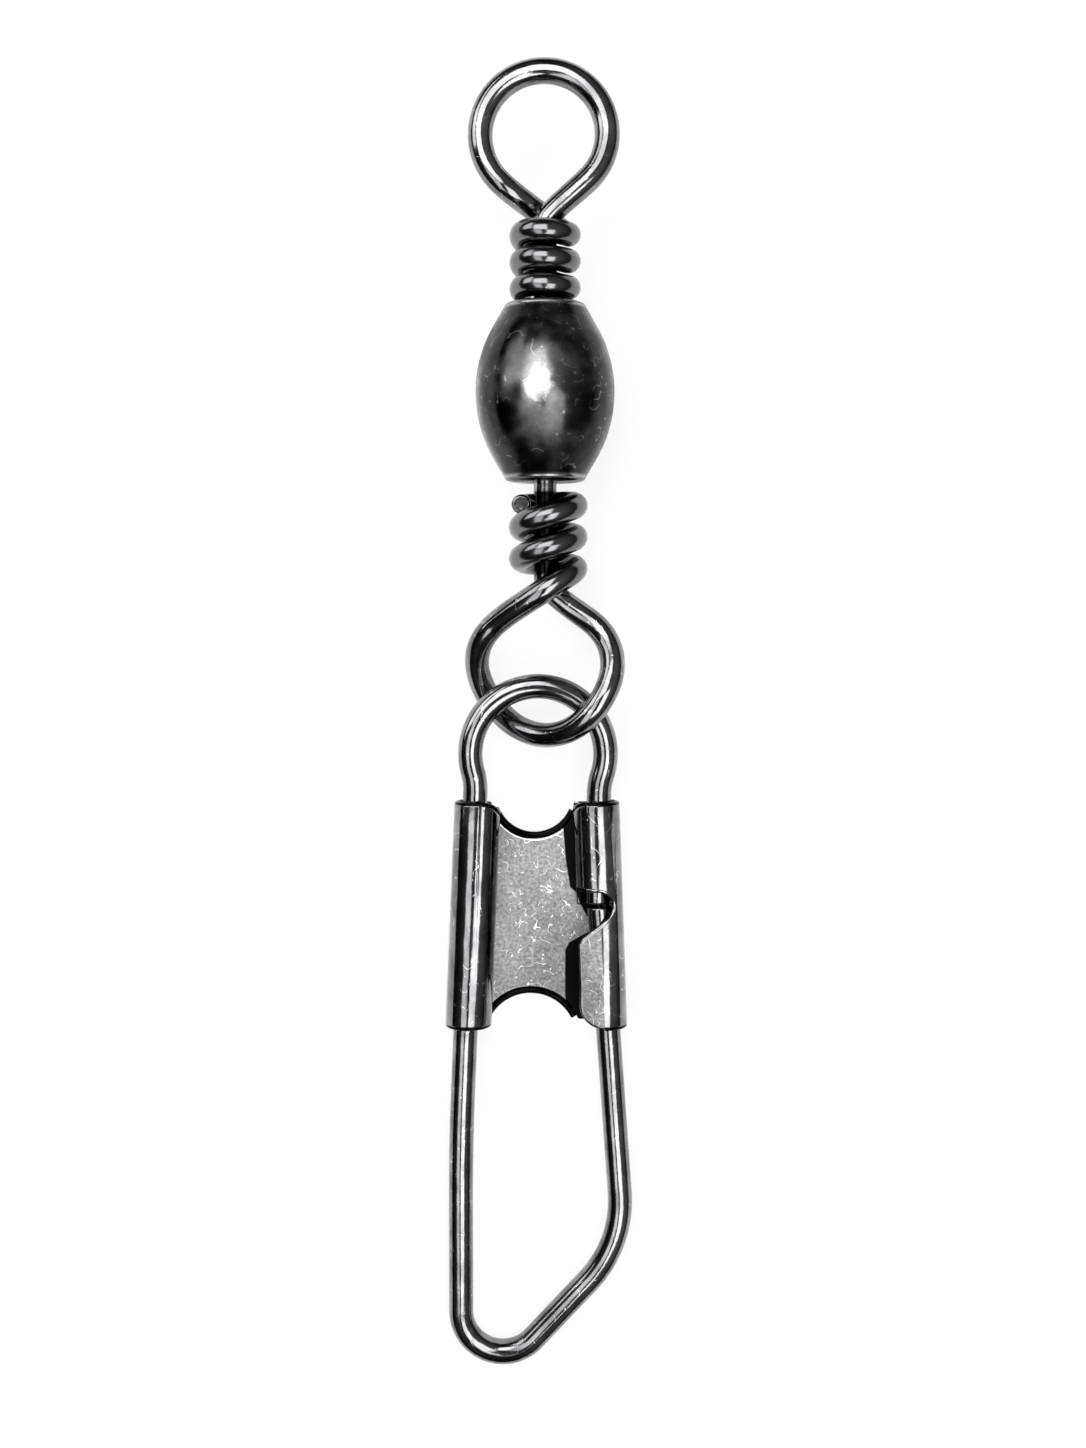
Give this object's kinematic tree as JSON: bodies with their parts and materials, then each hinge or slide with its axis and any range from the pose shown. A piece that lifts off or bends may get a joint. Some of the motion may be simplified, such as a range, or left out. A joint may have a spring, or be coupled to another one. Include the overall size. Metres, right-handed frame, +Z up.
{
  "type": "fishing snap swivel",
  "caption": "Barrel swivel with a wrapped wire eye at each end and a sprung wire snap in a folded sheet clasp, for joining a line to a lure.",
  "frame": {"origin": "centre of the overall box in X and Y, on the table that the swivel lies on", "axes": "+Y along the length towards the line eye, +X across the snap towards its opening side, +Z up from the table, towards the open front of the clasp"},
  "size_m": [0.0094, 0.064, 0.0068],
  "materials": {
    "plated_barrel": "polished black nickel",
    "plated_eye": "polished black nickel",
    "plated_wire": "polished black nickel",
    "plated_sheet": "satin black nickel on pressed sheet"
  },
  "bodies": {
    "snap": {"clasp": "plated_sheet", "snap_wire": "plated_wire"},
    "snap_side_eye": {"lower_eye": "plated_eye"},
    "swivel_barrel": {"barrel": "plated_barrel"},
    "line_side_eye": {"upper_eye": "plated_eye"}
  },
  "joints": [
    {"name": "link_swing", "type": "hinge", "parent": "snap", "child": "snap_side_eye", "pos_m": [0.0003, 0.00107, 0.00195], "axis": [1, 0, 0], "range_deg": [-48, 22]},
    {"name": "lower_swivel", "type": "hinge", "parent": "snap_side_eye", "child": "swivel_barrel", "pos_m": [0.0003, 0.01225, 0.00301], "axis": [0, 0.9956, 0.0938], "continuous": true},
    {"name": "upper_swivel", "type": "hinge", "parent": "swivel_barrel", "child": "line_side_eye", "pos_m": [0.0003, 0.02032, 0.00377], "axis": [0, 0.9956, 0.0938], "continuous": true}
  ]
}
